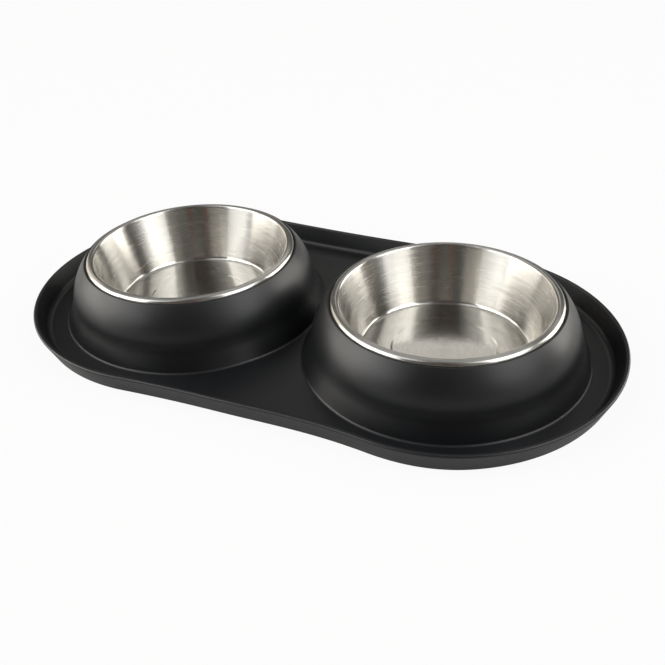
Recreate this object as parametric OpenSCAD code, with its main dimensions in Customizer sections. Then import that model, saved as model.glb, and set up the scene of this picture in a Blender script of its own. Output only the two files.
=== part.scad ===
// Double pet bowl: a soft moulded spill tray with two hollow pods, and two lift-out steel bowls.
// Origin: on the ground under the middle of the tray. +X along the tray, -Y its front, +Z up. Millimetres.

/* [Tray] */
// Width left from a pod's foot to the tray's edge, in front of and behind the pods
channel_w = 25.5; // [18:0.1:40]
// How much further out the middle of each rounded end lies than the middle of its pod; below zero, further in
end_shift = -1.6; // [-3:0.1:20]
// Height of the tray's edge
tray_h = 16.9; // [12:0.1:30]
// How far each long side is drawn in at its middle
waist = 4; // [2:0.5:12]
// How far the wall leans out from its foot to its edge
wall_lean = 7.5; // [3:0.5:10]
// Thickness of the wall and its edge, measured level
wall_t = 3.4; // [2:0.1:5]
// Thickness of the floor
floor_t = 3; // [2:0.1:4.5]
// Rounding of the tray's edge
edge_r = 1.3; // [0.4:0.1:1.6]
// Rounding of the foot of the wall outside
heel_r = 2; // [0.5:0.1:4]
// Fillet between the wall and the floor inside
wall_fillet = 5; // [1:0.1:6]

/* [Pods] */
// Gap between the feet of the two pods
pod_gap = 1.4; // [0.6:0.1:12]
// How far a pod would bulge out beyond the rim of its bowl if its dome went on down
bulge = 15.2; // [13:0.1:20]
// Height at which that dome would be widest
bulge_z = 15; // [11:0.5:17]
// Height at which the dome turns into the skirt
skirt_z = 19; // [17.5:0.5:23]
// Radius of the hollow curve between the dome and the skirt
flare_r = 10; // [6:0.5:14]
// How far a pod's foot stands out beyond that bulge
foot_reach = 7.1; // [6:0.1:9]
// Fillet between the skirt and the floor of the tray
foot_fillet = 3.8; // [2:0.1:4.5]
// Wall thickness of a pod
pod_t = 2.4; // [2:0.1:3.4]
// Width of the narrow lip that frames the bowl's rim
lip_w = 1.1; // [0.6:0.1:2]
// Rounding of that lip
lip_r = 0.4; // [0.1:0.05:0.5]
// Depth of the seat below that lip
seat_depth = 1.2; // [0.4:0.1:2]
// Depth of the collar that guides the bowl, below the seat
collar_h = 9; // [5:0.5:14]
// Thickness of that collar
collar_t = 2.4; // [1.5:0.1:3.5]

/* [Bowls] */
// Width of a bowl over its rim
rim_d = 160; // [110:0.5:230]
// Width of the curled rim, from the inside of the bowl to its outer edge
rim_w = 5.7; // [5.2:0.1:8]
// Height of the curled rim
rim_h = 4; // [3.8:0.1:6]
// How far the rim falls towards its outer edge
rim_fall = 1.4; // [0.6:0.1:1.6]
// Rounding where the wall turns over into the rim
rim_turn_r = 2.4; // [1.5:0.1:3]
// Rounding of the rim's outer edge
rim_edge_r = 3; // [1.5:0.1:3.2]
// Depth of a bowl, up to where its wall and its rim would meet without their rounding
bowl_depth = 44.8; // [32:0.1:65]
// How far the wall of a bowl leans out from its floor to its rim
bowl_lean = 13.3; // [5:0.1:18]
// Rounding between the wall and the floor
bowl_corner_r = 5; // [2:0.5:9]
// Thickness of the steel
steel_t = 0.7; // [0.5:0.05:1]
// Width of the low ring of floor round the panel that is pressed up in its middle
panel_inset = 23.5; // [10:0.5:30]
// Height of that panel
panel_h = 0.8; // [0.3:0.1:1.5]
// Width of the slope round that panel
panel_slope = 1.6; // [1:0.1:3]

/* [Fit] */
// Gap round the rim in its seat
rim_clear = 0.7; // [0.4:0.1:1.2]
// Gap between a bowl and its collar
collar_clear = 0.8; // [0.4:0.1:1.5]
// Gap left under the rim where it lies on its seat
seat_clear = 0.05; // [0.02:0.01:0.2]
// Height of a bowl's underside above the ground
ground_clear = 5.35; // [3:0.05:12]

/* [Hidden] */
$fn = 180;
// Steps in each rounded corner and in each long curve of a section
corner_steps = 7;
curve_steps = 16;
// How many times finer than a full turn's steps the long sides are stepped, since they turn so little
side_fineness = 8;
silicone = "#2a2c2d";
steel = "#c3c0b8";

// Widths that follow from the bowl's rim, and heights that follow from its depth
pod_r = rim_d / 2 + bulge;
foot_r = pod_r + foot_reach;
pod_x = foot_r + pod_gap / 2;
rim_top = ground_clear + steel_t + bowl_depth;
seat_z = rim_top - rim_h - seat_clear;
pod_h = seat_z + seat_depth;

// Plan of the tray: an arc at each end, joined by shallow arcs that are hollow towards the outside
end_r = foot_r + channel_w;
end_x = pod_x + end_shift;
waist_y = end_r - waist;
side_r = (end_x ^ 2 + waist_y ^ 2 - end_r ^ 2) / (2 * waist);
side_y = side_r + waist_y;
side_half_angle = asin(end_x / (end_r + side_r));
// How far the swept edge and the middle of the floor run into each other
overrun = 1;
// Inset at which the inside of the wall has run out into the floor, and at which the swept edge stops
flat_inset = wall_t + wall_lean + wall_fillet;
sweep_inset = flat_inset + waist + 2 * overrun;

// Section of a pod
rebate_r = rim_d / 2 + rim_clear;
lip_outer_r = rebate_r + lip_w;
rim_inner_r = rim_d / 2 - rim_w;
mouth_r = rim_inner_r + steel_t + collar_clear;
shoulder_in = pod_r - lip_outer_r;
shoulder_up = pod_h - bulge_z;
shoulder_r = (shoulder_in ^ 2 + shoulder_up ^ 2) / (2 * shoulder_in);
shoulder_c = [pod_r - shoulder_r, bulge_z];
skirt_angle = asin((skirt_z - bulge_z) / shoulder_r);
flare_c = shoulder_c + (shoulder_r + flare_r) * [cos(skirt_angle), sin(skirt_angle)];
fillet_c = [foot_r, floor_t + foot_fillet];
// How far the skirt leans out from upright, since its straight part touches both curves
between = fillet_c - flare_c;
lean = atan2(between.y, between.x) + acos((foot_fillet - flare_r) / norm(between));
inner_shoulder_r = shoulder_r - pod_t;
roof_z = seat_z - pod_t;
hollow_end = flare_c - (flare_r + pod_t) * [cos(lean), sin(lean)];
hollow_r = hollow_end.x + hollow_end.y * tan(lean);

// Section of a bowl
bowl_floor_z = rim_top - bowl_depth;
bowl_floor_r = rim_inner_r - bowl_lean;
panel_r = bowl_floor_r - panel_inset;

function unit(v) = v / norm(v);
function turn(a) = a > 180 ? a - 360 : a < -180 ? a + 360 : a;

// Points of an arc about c, from angle a to angle b
function arc(c, r, a, b, steps) =
    [for (k = [0 : steps]) c + r * [cos(a + (b - a) * k / steps), sin(a + (b - a) * k / steps)]];

// Points that round the corner q between p and s with radius r
function corner(p, q, s, r) =
    let (
        u = unit(p - q),
        w = unit(s - q),
        half = acos(u * w) / 2,
        c = q + unit(u + w) * r / sin(half),
        start = q + u * r / tan(half) - c,
        end = q + w * r / tan(half) - c,
        a = atan2(start.y, start.x)
    )
    arc(c, r, a, a + turn(atan2(end.y, end.x) - a), corner_steps);

// A path with each corner rounded by the radius at its place, 0 for a sharp one
function rounded(p, r) =
    [for (i = [0 : len(p) - 1])
        for (q = r[i] > 0 ? corner(p[i - 1], p[i], p[i + 1], r[i]) : [p[i]]) q];

// The right-hand side of a path, a distance t away
function right_of(p, t) =
    [for (i = [0 : len(p) - 1])
        let (
            before = unit(p[max(i, 1)] - p[max(i, 1) - 1]),
            after = unit(p[min(i, len(p) - 2) + 1] - p[min(i, len(p) - 2)]),
            across = unit([before.y + after.y, -before.x - after.x])
        )
        p[i] + across * t / (across * [before.y, -before.x])];

function reversed(p) = [for (i = [len(p) - 1 : -1 : 0]) p[i]];

// Section of the tray's edge: x is the inset from the outline, y the height
module edge_section() {
    corners = [
        [sweep_inset, 0],
        [wall_lean, 0],
        [0, tray_h],
        [wall_t, tray_h],
        [wall_t + wall_lean * (tray_h - floor_t) / tray_h, floor_t],
        [sweep_inset, floor_t]
    ];
    polygon(rounded(corners, [0, heel_r, edge_r, edge_r, wall_fillet, 0]));
}

// The middle of the floor, inside the swept edge, with a hole under each pod
module floor_middle() {
    r = end_r - sweep_inset + overrun;
    difference() {
        union() {
            for (side = [-1, 1])
                translate([side * end_x, 0, 0]) cylinder(r = r, h = floor_t);
            translate([-end_x, -r, 0]) cube([2 * end_x, 2 * r, floor_t]);
        }
        for (side = [-1, 1])
            translate([side * pod_x, 0, -overrun])
                cylinder(r = (hollow_r + foot_r) / 2, h = floor_t + 2 * overrun);
    }
}

// The edge swept along the outline
module tray_edge() {
    for (turned = [0, 180])
        rotate(turned) {
            translate([end_x, 0])
                rotate(-90 - side_half_angle)
                    rotate_extrude(angle = 180 + 2 * side_half_angle)
                        translate([end_r, 0]) mirror([1, 0]) edge_section();
            translate([0, side_y])
                rotate(-90 - side_half_angle)
                    rotate_extrude(angle = 2 * side_half_angle, $fn = side_fineness * $fn)
                        translate([side_r, 0]) edge_section();
        }
}

// Section of a pod's shell, from the middle of the pod outwards
module pod_section() {
    roof_r = shoulder_c.x + sqrt(inner_shoulder_r ^ 2 - (roof_z - bulge_z) ^ 2);
    roof_angle = atan2(roof_z - bulge_z, roof_r - shoulder_c.x);
    lip_angle = atan2(shoulder_up, lip_outer_r - shoulder_c.x);
    outside = concat(
        arc(fillet_c, foot_fillet, 270, 180 + lean, corner_steps),
        arc(flare_c, flare_r, 180 + lean, 180 + skirt_angle, corner_steps),
        arc(shoulder_c, shoulder_r, skirt_angle, lip_angle, curve_steps));
    mouth = [
        [rebate_r, pod_h],
        [rebate_r, seat_z],
        [mouth_r, seat_z],
        [mouth_r, seat_z - collar_h],
        [mouth_r + collar_t, seat_z - collar_h],
        [mouth_r + collar_t, roof_z]
    ];
    inside = concat(
        arc(shoulder_c, inner_shoulder_r, roof_angle, skirt_angle, curve_steps),
        arc(flare_c, flare_r + pod_t, 180 + skirt_angle, 180 + lean, corner_steps));
    polygon(concat([[foot_r, 0]], outside, rounded(mouth, [0, 0, lip_r, 0, 0, 0]), inside, [[hollow_r, 0]]));
}

// The soft tray with its two pods, in one moulding
module tray() {
    color(silicone) {
        floor_middle();
        tray_edge();
        for (side = [-1, 1])
            translate([side * pod_x, 0, 0]) rotate_extrude() pod_section();
    }
}

// Upper face of a bowl's steel, from the middle outwards and over the rim
module bowl_section() {
    corners = [
        [0, bowl_floor_z + panel_h],
        [panel_r - panel_slope / 2, bowl_floor_z + panel_h],
        [panel_r + panel_slope / 2, bowl_floor_z],
        [bowl_floor_r, bowl_floor_z],
        [rim_inner_r, rim_top],
        [rim_d / 2, rim_top - rim_fall],
        [rim_d / 2, rim_top - rim_h]
    ];
    upper = rounded(corners, [0, panel_slope, panel_slope, bowl_corner_r, rim_turn_r, rim_edge_r, 0]);
    polygon(concat(upper, reversed(right_of(upper, steel_t))));
}

module bowl(side) {
    color(steel) translate([side * pod_x, 0, 0]) rotate_extrude() bowl_section();
}

module food_bowl() {
    bowl(-1);
}

module water_bowl() {
    bowl(1);
}

tray();
food_bowl();
water_bowl();
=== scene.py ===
"""The looks of the double pet bowl: a soft black silicone tray with two pods, and two brushed steel bowls."""
import math
from functools import partial

import bpy
import numpy as np
from mathutils import Matrix, Vector
from mathutils.geometry import delaunay_2d_cdt


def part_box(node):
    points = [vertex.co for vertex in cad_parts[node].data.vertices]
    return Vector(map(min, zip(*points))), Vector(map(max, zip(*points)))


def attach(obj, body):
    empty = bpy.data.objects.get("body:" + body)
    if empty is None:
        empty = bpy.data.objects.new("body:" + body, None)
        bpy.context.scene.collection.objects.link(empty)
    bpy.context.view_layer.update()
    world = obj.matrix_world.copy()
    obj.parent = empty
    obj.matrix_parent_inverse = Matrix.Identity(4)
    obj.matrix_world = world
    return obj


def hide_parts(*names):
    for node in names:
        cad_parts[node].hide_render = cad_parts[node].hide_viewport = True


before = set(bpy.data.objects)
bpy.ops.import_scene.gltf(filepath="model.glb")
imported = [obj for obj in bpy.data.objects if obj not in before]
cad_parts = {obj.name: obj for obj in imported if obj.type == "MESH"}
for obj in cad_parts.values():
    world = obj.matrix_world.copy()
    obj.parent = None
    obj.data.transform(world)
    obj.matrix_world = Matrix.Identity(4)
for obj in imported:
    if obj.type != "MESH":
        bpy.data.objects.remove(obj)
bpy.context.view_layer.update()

MM = 0.001
TAU = 2 * math.pi
SIDES = (-1, 1)

# Places and sizes taken from the frame, in metres
TRAY_HIGH = np.array(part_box("tray")[1])
BOWL_LOW, BOWL_HIGH = (np.array(corner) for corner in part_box("food_bowl"))
POD_X = -(BOWL_LOW[0] + BOWL_HIGH[0]) / 2
POD_TOP = TRAY_HIGH[2]
RIM_TOP = BOWL_HIGH[2]
RIM_R = (BOWL_HIGH[0] - BOWL_LOW[0]) / 2

# Sizes of the tray's edge. Before it is rounded, its corner stands out past the tray's box by the overhang
EDGE_OVERHANG = 0.35 * MM
END_R = TRAY_HIGH[1] + EDGE_OVERHANG
END_X = TRAY_HIGH[0] + EDGE_OVERHANG - END_R
TRAY_H = 16.9 * MM
WALL_LEAN = 7.2 * MM
WALL_T = 3.4 * MM
FLOOR_T = 3 * MM
EDGE_ROUND = 1.3 * MM
HEEL_ROUND = 2 * MM
WALL_FILLET = 5 * MM
# How far the swept section runs on past the wall's foot, and the length of its last, flat step
FLAT_MARGIN = 2.1 * MM
FLAT_STEP = 0.6 * MM
# How far the soft long sides are drawn in
FRONT_WAIST = 4.5 * MM
BACK_WAIST = 2.7 * MM
# Where the front gives way a little more than a true arc, over what half length and how far
DENT_X = 70 * MM
DENT_REACH = 90 * MM
DENT_DEPTH = 3.2 * MM

# Sizes of a pod: the radius and height at which its dome would be widest, the height at which the dome turns
# into the skirt, and the radius of the hollow curve there
POD_R = 94.9 * MM
BULGE_Z = 14.5 * MM
SKIRT_Z = 23 * MM
FLARE_R = 42 * MM
# Its foot, the fillet there and the flat ring past it, and its wall
FOOT_R = 102.8 * MM
FOOT_FILLET = 2.2 * MM
FOOT_MARGIN = 0.12 * MM
POD_T = 2.4 * MM
# The lip round the bowl's rim, the seat below it, and the collar that guides the bowl
RIM_CLEAR = 0.35 * MM
LIP_W = 1.25 * MM
LIP_ROUND = 0.4 * MM
SEAT_DEPTH = 1.2 * MM
COLLAR_H = 9 * MM
COLLAR_T = 2.4 * MM
COLLAR_CLEAR = 0.8 * MM
# Points of the dome that are left out beside the lip, to make room for its rounding
LIP_POINTS = 3

# Sizes of a bowl
RIM_W = 5.7 * MM
RIM_H = 4 * MM
RIM_FALL = 1.4 * MM
RIM_TURN = 2.4 * MM
RIM_EDGE = 3 * MM
# How far above the rounded rim its wall and its slope would meet
RIM_LIFT = 0.47 * MM
BOWL_FLOOR_Z = 6.05 * MM
BOWL_FLOOR_R = 61 * MM
BOWL_CORNER = 4 * MM
STEEL_T = 0.7 * MM
PANEL_R = 37.5 * MM
PANEL_H = 0.8 * MM
PANEL_SLOPE = 1.6 * MM

# Steps in each rounded corner, in each long curve, round a lathed form, and along the outline
CORNER_STEPS = 8
CURVE_STEPS = 28
ROUND_STEPS = 256
END_STEPS = 150
SIDE_STEPS = 60
# How close two points are taken as one, when a flat region is filled and when a lathed form is closed
FILL_TOUCH = 1e-7
WELD = 0.002 * MM
# What the flat fill returns: the triangles inside its loops
INSIDE_ONLY = 1

# The colour sockets of a Mix node, which share their names with its others
MIX_A, MIX_B, MIX_RESULT = 6, 7, 2

# The silicone's two tints and its roughness, which drift across the skin in clouds some 36 mm wide. The grain
# that the mould leaves is far finer in fact, and drawn 1.1 mm coarse so that it shows
SILICONE_TINTS = ("#0a0c0f", "#0e1013")
SILICONE_ROUGHNESS = (0.36, 0.42)
CLOUDS_PER_METRE = 28
GRAINS_PER_METRE = 900
GRAIN_HEIGHT = 0.2 * MM

# The steel's lines, which are far finer in fact and drawn as coarse as they need to be to show: fine ones
# 0.8 mm apart and broad ones 4 mm apart, and the radius of the ring that each follows through its noise
FINE_PER_METRE, FINE_RING = 1300, 4
BROAD_PER_METRE, BROAD_RING = 240, 2
BROAD_SHARE = 0.35
# How many times faster the lines pass on the way up than on the way out
CLIMB = 1.3
# How far inside and outside the edge of a bowl's floor its roughness turns into that of the wall
FADE_INSIDE = 3 * MM
FADE_OUTSIDE = 2 * MM
# Each finish of the steel: its two tints, how strongly its lines draw a reflection out, its roughness on the
# bowl's floor and on its wall, and how far the fine lines and the broad ones tilt the surface
BRUSHED = {
    "tints": ("#c4c2bc", "#d0cec9"),
    "stretch": 1.0,
    "roughness": (0.1, 0.25),
    "groove": 0.022,
    "waver": 0.008,
}
POLISHED = {
    "tints": ("#c6c4be", "#d1cfca"),
    "stretch": 0.8,
    "roughness": (0.24, 0.24),
    "groove": 0.006,
    "waver": 0.004,
}

# The floor, and how much of pure white the camera sees in place of its paper, and a mirror besides
FLOOR_SIZE = 8.0
PAPER = "#cfcfce"
WHITE_SHARE = 0.93
MIRRORED_SHARE = 0.15

# The camera, as the object was photographed, in degrees, millimetres of sensor and pixels of the photograph
CAMERA_AZIMUTH = 25.95
CAMERA_ELEVATION = 33.73
CAMERA_ROLL = -2.93
CAMERA_DISTANCE = 634.5 * MM
CAMERA_AIM = np.array([13.45, 3.57, -4.01]) * MM
CAMERA_CLIP = 10 * MM
SENSOR_WIDTH = 36
FRAME_PIXELS = 665
FOCAL_PIXELS = 832.4

# The studio round the object, each card over those before it: azimuth, half width, lowest and highest
# elevation in degrees, brightness and colour
STUDIO = {
    "backdrop": (200, 75, -20, 14, 0.2, "#ffffff"),
    "dark_ceiling": (0, 180, 75, 95, 0.12, "#f6f4f0"),
    "dark_behind": (200, 42, 12, 48, 0.12, "#f6f4f0"),
    "lit_wall_behind": (199, 14, 30, 47, 0.85, "#f8f5ef"),
    "lit_ceiling_behind": (206, 60, 50, 76, 0.4, "#ffffff"),
    "room_behind_camera": (18, 38, -20, 80, 0.1, "#ebe8e2"),
    "room_right_of_camera": (46, 11, -20, 80, 0.2, "#eeeae2"),
    "wooden_post_left": (12, 2.2, -20, 60, 0.26, "#c08a78"),
    "wooden_post_right": (31, 2.2, -20, 60, 0.22, "#c08a78"),
    "left_curtain": (-73, 21, -10, 35, 4.6, "#fffbf4"),
    "left_door": (-108, 12, -20, 35, 1.5, "#ece4d8"),
    "right_wall_gap": (112, 4, -20, 60, 0.12, "#e8e4dc"),
    "right_window": (128, 7, -10, 34, 6.2, "#fffbf4"),
    "right_wall": (148, 12, -10, 34, 3.4, "#fffbf4"),
    "left_skylight": (-50, 20, 58, 80, 1.6, "#ffffff"),
    "right_skylight": (88, 20, 58, 80, 1.6, "#ffffff"),
}
# Half the width of a card's soft edge, and the brightness and colour of what no card covers
STUDIO_EDGE = 2.5
STUDIO_BASE = (0.36, "#f2f1ee")
# A card that reaches half a turn each way has no upright edges, and one past the zenith no upper edge
HALF_TURN = 180
ZENITH = 90

# Softboxes: azimuth, elevation and lean in degrees, distance, width and height in metres, brightness
SOFTBOXES = {
    "left_softbox": (-46, 36, 35, 2.5, 1.3, 2.4, 2.7),
    "right_softbox": (85, 38, -25, 2.5, 1.4, 2.5, 2.7),
}


# Outlines

def unit(v):
    return v / np.linalg.norm(v)


def arc(centre, radius, start, end, steps):
    """Points of an arc, angles in degrees."""
    angles = np.radians(np.linspace(start, end, steps + 1))
    return np.array(centre) + radius * np.stack([np.cos(angles), np.sin(angles)], axis=1)


def corner(before, point, after, radius, steps=CORNER_STEPS):
    """Points that round a corner with a radius."""
    u, w = unit(before - point), unit(after - point)
    half = math.acos(float(np.clip(u @ w, -1, 1))) / 2
    centre = point + unit(u + w) * radius / math.sin(half)
    start = point + u * radius / math.tan(half) - centre
    end = point + w * radius / math.tan(half) - centre
    first = math.degrees(math.atan2(start[1], start[0]))
    turn = (math.degrees(math.atan2(end[1], end[0])) - first + 180) % 360 - 180
    return arc(centre, radius, first, first + turn, steps)


def rounded(points, radii, steps=CORNER_STEPS):
    """A path with each corner rounded by the radius at its place, 0 for a sharp one."""
    points = [np.array(p, dtype=float) for p in points]
    parts = []
    for i, (point, radius) in enumerate(zip(points, radii)):
        parts.append(corner(points[i - 1], point, points[i + 1], radius, steps) if radius else point[None])
    return np.concatenate(parts)


def right_of(path, distance):
    """The right-hand side of a path, a distance away."""
    steps = np.diff(path, axis=0)
    steps /= np.linalg.norm(steps, axis=1)[:, None]
    before = np.concatenate([steps[:1], steps])
    after = np.concatenate([steps, steps[-1:]])
    across = np.stack([before[:, 1] + after[:, 1], -before[:, 0] - after[:, 0]], axis=1)
    across /= np.linalg.norm(across, axis=1)[:, None]
    square = np.stack([before[:, 1], -before[:, 0]], axis=1)
    return path + across * distance / (across * square).sum(axis=1)[:, None]


def bowl_section():
    """Section of a bowl's steel from the middle of its floor, over the rim and back underneath."""
    meet = RIM_TOP + RIM_LIFT
    corners = [
        (0, BOWL_FLOOR_Z + PANEL_H),
        (PANEL_R - PANEL_SLOPE / 2, BOWL_FLOOR_Z + PANEL_H),
        (PANEL_R + PANEL_SLOPE / 2, BOWL_FLOOR_Z),
        (BOWL_FLOOR_R, BOWL_FLOOR_Z),
        (RIM_R - RIM_W, meet),
        (RIM_R, meet - RIM_FALL),
        (RIM_R, meet - RIM_H),
    ]
    radii = [0, PANEL_SLOPE, PANEL_SLOPE, BOWL_CORNER, RIM_TURN, RIM_EDGE, 0]
    upper = rounded(corners, radii, CURVE_STEPS // 2)
    return np.concatenate([upper, right_of(upper, STEEL_T)[::-1]])


def pod_section():
    """Section of a pod's shell: from the tray's floor over its lip, into the mouth and down to the ground."""
    seat_z = POD_TOP - SEAT_DEPTH
    rebate_r = RIM_R + RIM_CLEAR
    lip_r = rebate_r + LIP_W
    mouth_r = RIM_R - RIM_W + STEEL_T + COLLAR_CLEAR
    # The dome is an arc through its widest place and the lip, and touches the hollow flare at this angle
    inward, up = POD_R - lip_r, POD_TOP - BULGE_Z
    dome_r = (inward ** 2 + up ** 2) / (2 * inward)
    dome = np.array([POD_R - dome_r, BULGE_Z])
    turn = math.asin((SKIRT_Z - BULGE_Z) / dome_r)
    flare = dome + (dome_r + FLARE_R) * np.array([math.cos(turn), math.sin(turn)])
    turn = math.degrees(turn)
    # The skirt's straight part touches both the flare and the fillet at its foot, and leans out this far
    fillet = np.array([FOOT_R, FLOOR_T + FOOT_FILLET])
    reach = np.linalg.norm(fillet - flare)
    lean = math.degrees(math.atan2(*(fillet - flare)[::-1]) + math.acos((FOOT_FILLET - FLARE_R) / reach))
    roof_z = seat_z - POD_T
    roof_r = dome[0] + math.sqrt((dome_r - POD_T) ** 2 - (roof_z - BULGE_Z) ** 2)
    roof_angle = math.degrees(math.atan2(roof_z - BULGE_Z, roof_r - dome[0]))
    lip_angle = math.degrees(math.atan2(up, lip_r - dome[0]))
    dome_arc = arc(dome, dome_r, turn, lip_angle, CURVE_STEPS)
    lip_corners = [
        dome_arc[-LIP_POINTS],
        (lip_r, POD_TOP),
        (rebate_r, POD_TOP),
        (rebate_r, seat_z),
        (mouth_r, seat_z),
        (mouth_r, seat_z - COLLAR_H),
        (mouth_r + COLLAR_T, seat_z - COLLAR_H),
        (mouth_r + COLLAR_T, roof_z),
        (roof_r, roof_z),
    ]
    hollow = arc(flare, FLARE_R + POD_T, 180 + turn, 180 + lean, CORNER_STEPS)
    ground_r = hollow[-1][0] + hollow[-1][1] * math.tan(math.radians(lean))
    return np.concatenate([
        [(FOOT_R + FOOT_MARGIN, FLOOR_T)],
        arc(fillet, FOOT_FILLET, 270, 180 + lean, CORNER_STEPS * 2),
        arc(flare, FLARE_R, 180 + lean, 180 + turn, CORNER_STEPS),
        dome_arc[1:-LIP_POINTS],
        rounded(lip_corners, [0, LIP_ROUND, LIP_ROUND, 0, LIP_ROUND, LIP_ROUND, LIP_ROUND, 0, 0]),
        arc(dome, dome_r - POD_T, roof_angle, turn, CORNER_STEPS)[1:],
        hollow[1:],
        [(ground_r, 0)],
    ])


def edge_section():
    """Section of the tray's edge as (inset, height): from the flat floor over the edge to the underside."""
    foot_inset = WALL_T + WALL_LEAN * (TRAY_H - FLOOR_T) / TRAY_H
    margin = WALL_T + WALL_LEAN + FLAT_MARGIN
    corners = [
        (margin + FLAT_STEP, FLOOR_T),
        (margin, FLOOR_T),
        (foot_inset, FLOOR_T),
        (WALL_T, TRAY_H),
        (0, TRAY_H),
        (WALL_LEAN, 0),
        (margin, 0),
        (margin + FLAT_STEP, 0),
    ]
    return rounded(corners, [0, 0, WALL_FILLET, EDGE_ROUND, EDGE_ROUND, HEEL_ROUND, 0, 0])


def hollow_side(waist):
    """The arc of a long side drawn in by its waist: its radius, how far off its centre is, its half angle."""
    half_w = END_R - waist
    radius = (END_X ** 2 + half_w ** 2 - END_R ** 2) / (2 * waist)
    return radius, radius + half_w, math.degrees(math.asin(END_X / (END_R + radius)))


def outline():
    """The tray seen from above and the outward direction at each point, from the front right and round."""
    front_r, front_y, front_half = hollow_side(FRONT_WAIST)
    back_r, back_y, back_half = hollow_side(BACK_WAIST)
    points, normals = [], []
    for centre, radius, start, end, steps, outward in (
            ((END_X, 0), END_R, -90 - front_half, 90 + back_half, END_STEPS, 1),
            ((0, back_y), back_r, -90 + back_half, -90 - back_half, SIDE_STEPS, -1),
            ((-END_X, 0), END_R, 90 - back_half, 270 + front_half, END_STEPS, 1),
            ((0, -front_y), front_r, 90 + front_half, 90 - front_half, SIDE_STEPS, -1)):
        rays = arc((0, 0), 1, start, end, steps)[:-1]
        points.append(np.array(centre) + radius * rays)
        normals.append(rays * outward)
    points = np.concatenate(points)
    away = np.abs(points[:, 0] - DENT_X) / DENT_REACH
    dent = DENT_DEPTH * np.cos(np.minimum(away, 1) * math.pi / 2) ** 2
    points[:, 1] += np.where(points[:, 1] < 0, dent, 0)
    return points, np.concatenate(normals)


# Meshes

def mesh_object(name, vertices, faces):
    mesh = bpy.data.meshes.new(name)
    mesh.from_pydata([tuple(map(float, v)) for v in vertices], [], faces)
    mesh.validate()
    mesh.shade_smooth()
    piece = bpy.data.objects.new(name, mesh)
    bpy.context.scene.collection.objects.link(piece)
    return piece


def grid_faces(rings, around, start=0):
    """Faces between rings of points, each ring closed on itself."""
    faces = []
    for i in range(rings - 1):
        for j in range(around):
            a = start + i * around + j
            b = start + i * around + (j + 1) % around
            faces.append((a, b, b + around, a + around))
    return faces


def flat_fill(loops, vertices, holes, upwards):
    """Faces that fill the flat region inside the loops and outside the round holes, given as (x, radius)."""
    index = np.concatenate(loops)
    flat = [Vector(vertices[i][:2]) for i in index]
    edges, start = [], 0
    for loop in loops:
        edges.extend((start + k, start + (k + 1) % len(loop)) for k in range(len(loop)))
        start += len(loop)
    faces = []
    for a, b, c in delaunay_2d_cdt(flat, edges, [], INSIDE_ONLY, FILL_TOUCH)[2]:
        middle = (flat[a] + flat[b] + flat[c]) / 3
        if all((middle - Vector((x, 0))).length > radius for x, radius in holes):
            order = (a, b, c) if upwards else (a, c, b)
            faces.append(tuple(int(index[k]) for k in order))
    return faces


def silicone_tray():
    """One closed mesh: the edge swept round the outline, the flat floor and underside, and the two pods."""
    edge, out = outline()
    section = edge_section()
    around = len(edge)
    vertices = []
    for inset, height in section:
        vertices.extend((x, y, height) for x, y in edge - out * inset)
    faces = [face[::-1] for face in grid_faces(len(section), around)]
    last = (len(section) - 1) * around
    top_loops = [list(range(around))]
    under_loops = [list(range(last, last + around))]
    angles = np.linspace(0, TAU, ROUND_STEPS + 1)[:-1]
    pod = pod_section()
    for side in SIDES:
        start = len(vertices)
        for radius, height in pod:
            ring = [(radius * math.cos(a), radius * math.sin(a)) for a in angles]
            vertices.extend((side * POD_X + x, y, height) for x, y in ring)
        faces.extend(grid_faces(len(pod), ROUND_STEPS, start))
        top_loops.append(list(range(start, start + ROUND_STEPS)))
        under_loops.append(list(range(len(vertices) - ROUND_STEPS, len(vertices))))
    # A round hole is stepped, so the circle inside its steps is the one that no face may cover
    shrink = math.cos(math.pi / ROUND_STEPS)
    for loops, radius, upwards in ((top_loops, pod[0][0], True), (under_loops, pod[-1][0], False)):
        holes = [(side * POD_X, radius * shrink) for side in SIDES]
        faces.extend(flat_fill(loops, vertices, holes, upwards))
    return mesh_object("silicone_tray", vertices, faces)


def add_node(tree, kind, settings=None, links=None):
    """Adds a node. A setting is one of its properties or a socket's value, a link a node or its socket."""
    node = tree.nodes.new(kind)
    for key, value in (settings or {}).items():
        if hasattr(node, str(key)):
            setattr(node, key, value)
        else:
            node.inputs[key].default_value = value
    for key, source in (links or {}).items():
        tree.links.new(getattr(source, "outputs", [source])[0], node.inputs[key])
    return node


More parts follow.
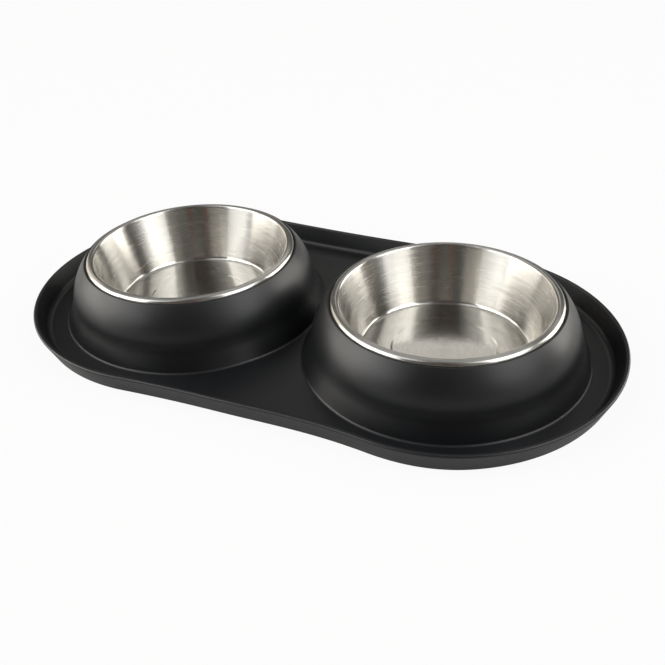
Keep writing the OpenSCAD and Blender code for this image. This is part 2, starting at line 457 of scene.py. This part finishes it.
def lathe_tree():
    """A node tree that turns the points of a section, kept as (radius, 0, height), round an upright axis."""
    tree = bpy.data.node_groups.new("lathe", "GeometryNodeTree")
    for name, way, kind in (
            ("Section", "INPUT", "Geometry"),
            ("Steps round", "INPUT", "Int"),
            ("Section points", "INPUT", "Int"),
            ("Axis X", "INPUT", "Float"),
            ("Finish", "INPUT", "Material"),
            ("Rim finish", "INPUT", "Material"),
            ("Rim from radius", "INPUT", "Float"),
            ("Lathed form", "OUTPUT", "Geometry")):
        tree.interface.new_socket(name, in_out=way, socket_type="NodeSocket" + kind)
    add = partial(add_node, tree)
    given = add("NodeGroupInput").outputs

    # A unit grid about the origin: a column for each step round and a row for each point of the section
    columns = add("ShaderNodeMath", {"operation": "ADD", 1: 1}, {0: given["Steps round"]})
    grid = add("GeometryNodeMeshGrid", {"Size X": 1, "Size Y": 1}, {
        "Vertices X": columns, "Vertices Y": given["Section points"]})
    spot = add("GeometryNodeInputPosition")
    place = add("ShaderNodeVectorMath", {"operation": "ADD", 1: (0.5, 0.5, 0)}, {0: spot})
    place = add("ShaderNodeSeparateXYZ", None, {"Vector": place}).outputs
    angle = add("ShaderNodeMath", {"operation": "MULTIPLY", 1: TAU}, {0: place["X"]})
    last = add("ShaderNodeMath", {"operation": "SUBTRACT", 1: 1}, {0: given["Section points"]})
    row = add("ShaderNodeMath", {"operation": "MULTIPLY"}, {0: place["Y"], 1: last})
    row = add("ShaderNodeMath", {"operation": "ROUND"}, {0: row})
    sampled = add("GeometryNodeSampleIndex", {"data_type": "FLOAT_VECTOR", "domain": "POINT"}, {
        "Geometry": given["Section"], "Index": row})
    tree.links.new(spot.outputs[0], sampled.inputs["Value"])
    section = add("ShaderNodeSeparateXYZ", None, {"Vector": sampled.outputs["Value"]}).outputs

    # Each point of the grid goes to its place round the axis
    cosine = add("ShaderNodeMath", {"operation": "COSINE"}, {0: angle})
    sine = add("ShaderNodeMath", {"operation": "SINE"}, {0: angle})
    x = add("ShaderNodeMath", {"operation": "MULTIPLY_ADD"}, {0: section["X"], 1: cosine, 2: given["Axis X"]})
    y = add("ShaderNodeMath", {"operation": "MULTIPLY"}, {0: section["X"], 1: sine})
    turned = add("ShaderNodeCombineXYZ", None, {"X": x, "Y": y, "Z": section["Z"]})
    moved = add("GeometryNodeSetPosition", None, {"Geometry": grid, "Position": turned})
    merged = add("GeometryNodeMergeByDistance", {"Distance": WELD}, {"Geometry": moved})
    smooth = add("GeometryNodeSetShadeSmooth", None, {"Geometry": merged})
    real = add("GeometryNodeRealizeInstances", None, {"Geometry": smooth})
    finished = add("GeometryNodeSetMaterial", None, {"Geometry": real, "Material": given["Finish"]})

    # The rim has a finish of its own
    axis = add("ShaderNodeCombineXYZ", None, {"X": given["Axis X"]})
    across = add("ShaderNodeVectorMath", {"operation": "SUBTRACT"}, {0: spot, 1: axis})
    across = add("ShaderNodeVectorMath", {"operation": "MULTIPLY", 1: (1, 1, 0)}, {0: across})
    away = add("ShaderNodeVectorMath", {"operation": "LENGTH"}, {0: across}).outputs["Value"]
    on_rim = add("ShaderNodeMath", {"operation": "GREATER_THAN"}, {0: away, 1: given["Rim from radius"]})
    rimmed = add("GeometryNodeSetMaterial", None, {
        "Geometry": finished, "Material": given["Rim finish"], "Selection": on_rim})
    add("NodeGroupOutput", None, {"Lathed form": rimmed})
    return tree


def lathe(name, tree, section, axis_x, finish, rim_finish):
    """A plain mesh object lathed from a section by the node tree."""
    points = [(float(r), 0.0, float(z)) for r, z in section]
    mesh = bpy.data.meshes.new(name + "_section")
    mesh.from_pydata(points, [(i, i + 1) for i in range(len(points) - 1)], [])
    maker = bpy.data.objects.new(name + "_maker", mesh)
    bpy.context.scene.collection.objects.link(maker)
    modifier = maker.modifiers.new("lathe", "NODES")
    modifier.node_group = tree
    values = {
        "Steps round": ROUND_STEPS,
        "Section points": len(points),
        "Axis X": float(axis_x),
        "Finish": finish,
        "Rim finish": rim_finish,
        "Rim from radius": RIM_R - RIM_W,
    }
    for item in tree.interface.items_tree:
        if item.in_out == "INPUT" and item.name in values:
            modifier[item.identifier] = values[item.name]
    bpy.context.view_layer.update()
    made = bpy.data.meshes.new_from_object(maker.evaluated_get(bpy.context.evaluated_depsgraph_get()))
    made.name = name
    maker.modifiers.remove(modifier)
    bpy.data.objects.remove(maker)
    piece = bpy.data.objects.new(name, made)
    bpy.context.scene.collection.objects.link(piece)
    return piece


# Materials

def linear(hex_colour):
    """An sRGB hex colour as linear RGBA."""
    values = [int(hex_colour[i:i + 2], 16) / 255 for i in (1, 3, 5)]
    return tuple(v / 12.92 if v <= 0.04045 else ((v + 0.055) / 1.055) ** 2.4 for v in values) + (1.0,)


def new_material(name):
    """An empty material and the function that adds nodes to it."""
    material = bpy.data.materials.new(name)
    material.use_nodes = True
    material.node_tree.nodes.clear()
    return material, partial(add_node, material.node_tree)


def moulded_silicone():
    """Silicone rubber from a matt mould: nearly black, with broad soft lights that fade without an edge."""
    material, add = new_material("matte moulded silicone")
    place = add("ShaderNodeTexCoord").outputs["Object"]
    cloud = add("ShaderNodeTexNoise", {"Scale": CLOUDS_PER_METRE, "Detail": 3.0, "Roughness": 0.55}, {
        "Vector": place})
    grain = add("ShaderNodeTexNoise", {"Scale": GRAINS_PER_METRE, "Detail": 2.0, "Roughness": 0.6}, {
        "Vector": place})
    low, high = map(linear, SILICONE_TINTS)
    colour = add("ShaderNodeMix", {"data_type": "RGBA", MIX_A: low, MIX_B: high}, {"Factor": cloud})
    smoothest, roughest = SILICONE_ROUGHNESS
    rough = add("ShaderNodeMapRange", {
        "From Min": 0.3, "From Max": 0.7, "To Min": smoothest, "To Max": roughest}, {"Value": cloud})
    bump = add("ShaderNodeBump", {"Strength": 0.12, "Distance": GRAIN_HEIGHT}, {"Height": grain})
    skin = add("ShaderNodeBsdfPrincipled", {"IOR": 1.5, "Specular IOR Level": 0.52}, {
        "Base Color": colour.outputs[MIX_RESULT], "Roughness": rough, "Normal": bump})
    add("ShaderNodeOutputMaterial", None, {"Surface": skin})
    return material


def turned_steel(name, axis_x, tints, stretch, roughness, groove, waver):
    """Stainless steel worked on a lathe. Its fine lines run round the axis and draw each reflection out
    across them, into the light and dark bands that run from the rim down the wall and in over the floor."""
    material, add = new_material(name)
    place = add("ShaderNodeTexCoord").outputs["Object"]
    centred = add("ShaderNodeMapping", {"Location": (-axis_x, 0, 0)}, {"Vector": place})
    flat = add("ShaderNodeVectorMath", {"operation": "MULTIPLY", 1: (1, 1, 0)}, {0: centred})
    outward = add("ShaderNodeVectorMath", {"operation": "NORMALIZE"}, {0: flat})
    radius = add("ShaderNodeVectorMath", {"operation": "LENGTH"}, {0: flat}).outputs["Value"]
    height = add("ShaderNodeSeparateXYZ", None, {"Vector": centred}).outputs["Z"]
    run = add("ShaderNodeMath", {"operation": "MULTIPLY_ADD", 1: CLIMB}, {0: height, 2: radius})

    def lines(per_metre, ring):
        """Noise that changes slowly round the axis and quickly along the section."""
        along = add("ShaderNodeMath", {"operation": "MULTIPLY", 1: per_metre}, {0: run})
        along = add("ShaderNodeCombineXYZ", None, {"Z": along})
        spot = add("ShaderNodeVectorMath", {"operation": "MULTIPLY_ADD", 1: (ring, ring, ring)}, {
            0: outward, 2: along})
        return add("ShaderNodeTexNoise", {"Scale": 1.0, "Detail": 2.0, "Roughness": 0.6}, {"Vector": spot})

    fine = lines(FINE_PER_METRE, FINE_RING)
    broad = lines(BROAD_PER_METRE, BROAD_RING)
    both = add("ShaderNodeMix", {"data_type": "FLOAT", "Factor": BROAD_SHARE}, {"A": fine, "B": broad})
    low, high = map(linear, tints)
    shade = add("ShaderNodeMapRange", {"From Min": 0.35, "From Max": 0.65}, {"Value": both})
    colour = add("ShaderNodeMix", {"data_type": "RGBA", MIX_A: low, MIX_B: high}, {"Factor": shade})
    on_floor, on_wall = roughness
    inside, outside = BOWL_FLOOR_R - FADE_INSIDE, BOWL_FLOOR_R + FADE_OUTSIDE
    level = add("ShaderNodeMapRange", {
        "From Min": inside, "From Max": outside, "To Min": on_floor, "To Max": on_wall}, {"Value": radius})
    change = add("ShaderNodeMapRange", {
        "From Min": 0.3, "From Max": 0.7, "To Min": 0.85, "To Max": 1.15}, {"Value": both})
    rough = add("ShaderNodeMath", {"operation": "MULTIPLY"}, {0: level, 1: change})
    tangent = add("ShaderNodeVectorMath", {"operation": "CROSS_PRODUCT", 1: (0, 0, 1)}, {0: outward})
    normal = add("ShaderNodeNewGeometry").outputs["Normal"]
    across = add("ShaderNodeVectorMath", {"operation": "CROSS_PRODUCT"}, {0: tangent, 1: normal})
    for way, line, amount in ((across, fine, groove), (tangent, broad, waver)):
        size = add("ShaderNodeMapRange", {"To Min": -amount, "To Max": amount}, {"Value": line})
        tilt = add("ShaderNodeVectorMath", {"operation": "SCALE"}, {0: way, "Scale": size})
        normal = add("ShaderNodeVectorMath", {"operation": "ADD"}, {0: normal, 1: tilt})
    normal = add("ShaderNodeVectorMath", {"operation": "NORMALIZE"}, {0: normal})
    steel = add("ShaderNodeBsdfPrincipled", {
        "Metallic": 1.0, "Anisotropic": stretch, "Anisotropic Rotation": 0.25}, {
        "Base Color": colour.outputs[MIX_RESULT], "Roughness": rough, "Tangent": tangent, "Normal": normal})
    add("ShaderNodeOutputMaterial", None, {"Surface": steel})
    return material


def studio_paper():
    """Matt paper that keeps the object's faint shadow. The camera sees it nearly white, a mirror paler."""
    material, add = new_material("pale studio paper")
    paper = add("ShaderNodeBsdfDiffuse", {"Color": linear(PAPER)})
    white = add("ShaderNodeEmission", {"Strength": 1.0})
    rays = add("ShaderNodeLightPath").outputs
    mirrored = add("ShaderNodeMath", {"operation": "MULTIPLY", 1: MIRRORED_SHARE}, {0: rays["Is Glossy Ray"]})
    seen = add("ShaderNodeMath", {"operation": "MAXIMUM"}, {0: rays["Is Camera Ray"], 1: mirrored})
    share = add("ShaderNodeMath", {"operation": "MULTIPLY", 1: WHITE_SHARE}, {0: seen})
    both = add("ShaderNodeMixShader", None, {0: share, 1: paper, 2: white})
    add("ShaderNodeOutputMaterial", None, {"Surface": both})
    return material


# The studio and the camera

def direction(azimuth, elevation):
    """Towards a viewer at this azimuth and elevation. Azimuth 0 is in front, and 90 at the right-hand end."""
    a, e = math.radians(azimuth), math.radians(elevation)
    return np.array([math.sin(a) * math.cos(e), -math.cos(a) * math.cos(e), math.sin(e)])


def looking(azimuth, elevation, distance, aim, roll):
    """The place of a camera or a lamp that stands there, this far from what it looks back at, as a matrix."""
    back = direction(azimuth, elevation)
    a, r = math.radians(azimuth), math.radians(roll)
    right = np.array([math.cos(a), math.sin(a), 0.0])
    up = np.cross(back, right)
    columns = (right * math.cos(r) + up * math.sin(r), up * math.cos(r) - right * math.sin(r), back)
    turned = Matrix([[float(column[i]) for column in columns] for i in range(3)]).to_4x4()
    return Matrix.Translation(aim + back * distance) @ turned


def glow(brightness, tint):
    return tuple(brightness * v for v in linear(tint)[:3]) + (1.0,)


def studio_world():
    """The studio as every ray but the camera's sees it; the camera sees plain white."""
    studio = bpy.data.worlds.new("studio")
    studio.use_nodes = True
    studio.node_tree.nodes.clear()
    add = partial(add_node, studio.node_tree)
    ray = add("ShaderNodeTexCoord").outputs["Generated"]
    height = add("ShaderNodeSeparateXYZ", None, {"Vector": ray}).outputs["Z"]
    level = add("ShaderNodeVectorMath", {"operation": "MULTIPLY", 1: (1, 1, 0)}, {0: ray})
    level = add("ShaderNodeVectorMath", {"operation": "NORMALIZE"}, {0: level})
    colour = None
    for azimuth, half_width, low, high, brightness, tint in STUDIO.values():
        # Each edge of the card: a value that a ray has, and what it is just outside the edge and just inside
        fades = []
        if half_width < HALF_TURN:
            towards = direction(azimuth, 0)
            facing = add("ShaderNodeVectorMath", {"operation": "DOT_PRODUCT", 1: towards}, {0: level})
            outer, inner = (math.cos(math.radians(half_width + way * STUDIO_EDGE)) for way in (1, -1))
            fades.append((facing.outputs["Value"], outer, inner))
        for edge, inwards in ((low, 1), (high, -1)):
            if abs(edge) < ZENITH:
                outer, inner = (math.sin(math.radians(edge + way * inwards * STUDIO_EDGE)) for way in (-1, 1))
                fades.append((height, outer, inner))
        mask = None
        for value, outer, inner in fades:
            fade = add("ShaderNodeMapRange", {
                "interpolation_type": "SMOOTHSTEP", "From Min": outer, "From Max": inner}, {"Value": value})
            mask = add("ShaderNodeMath", {"operation": "MULTIPLY"}, {0: mask, 1: fade}) if mask else fade
        links = {"Factor": mask, MIX_A: colour} if colour else {"Factor": mask}
        card = add("ShaderNodeMix", {
            "data_type": "RGBA", MIX_A: glow(*STUDIO_BASE), MIX_B: glow(brightness, tint)}, links)
        colour = card.outputs[MIX_RESULT]
    light = add("ShaderNodeBackground", None, {"Color": colour})
    white = add("ShaderNodeBackground", {"Color": (1, 1, 1, 1)})
    path = add("ShaderNodeLightPath").outputs["Is Camera Ray"]
    shown = add("ShaderNodeMixShader", None, {0: path, 1: light, 2: white})
    add("ShaderNodeOutputWorld", None, {"Surface": shown})
    return studio


def add_softboxes(scene):
    for name, (azimuth, elevation, lean, distance, width, height, brightness) in SOFTBOXES.items():
        lamp = bpy.data.lights.new(name, "AREA")
        lamp.shape = "RECTANGLE"
        lamp.size, lamp.size_y = width, height
        lamp.energy = math.pi * brightness * width * height
        box = bpy.data.objects.new(name, lamp)
        scene.collection.objects.link(box)
        box.matrix_world = looking(azimuth, elevation, distance, np.zeros(3), lean)


def add_camera(scene):
    lens = bpy.data.cameras.new("photo_camera")
    lens.sensor_width = SENSOR_WIDTH
    lens.lens = SENSOR_WIDTH * FOCAL_PIXELS / FRAME_PIXELS
    lens.clip_start = CAMERA_CLIP
    camera = bpy.data.objects.new("photo_camera", lens)
    scene.collection.objects.link(camera)
    camera.matrix_world = looking(CAMERA_AZIMUTH, CAMERA_ELEVATION, CAMERA_DISTANCE, CAMERA_AIM, CAMERA_ROLL)
    scene.camera = camera


# The pieces

tray = silicone_tray()
tray.data.materials.append(moulded_silicone())
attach(tray, "tray")
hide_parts("tray")

turned_form = lathe_tree()
for bowl_name, side in zip(("food_bowl", "water_bowl"), SIDES):
    axis_x = side * POD_X
    brushed = turned_steel("brushed stainless steel " + bowl_name, axis_x, **BRUSHED)
    polished = turned_steel("polished stainless rim " + bowl_name, axis_x, **POLISHED)
    bowl = lathe("steel_" + bowl_name, turned_form, bowl_section(), axis_x, brushed, polished)
    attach(bowl, bowl_name)
    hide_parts(bowl_name)

# The stage

half = FLOOR_SIZE / 2
floor_corners = [(-half, -half, 0), (half, -half, 0), (half, half, 0), (-half, half, 0)]
floor = mesh_object("studio_floor", floor_corners, [(0, 1, 2, 3)])
floor.data.materials.append(studio_paper())

scene = bpy.context.scene
scene.view_settings.view_transform = "Standard"
scene.world = studio_world()
add_softboxes(scene)
add_camera(scene)
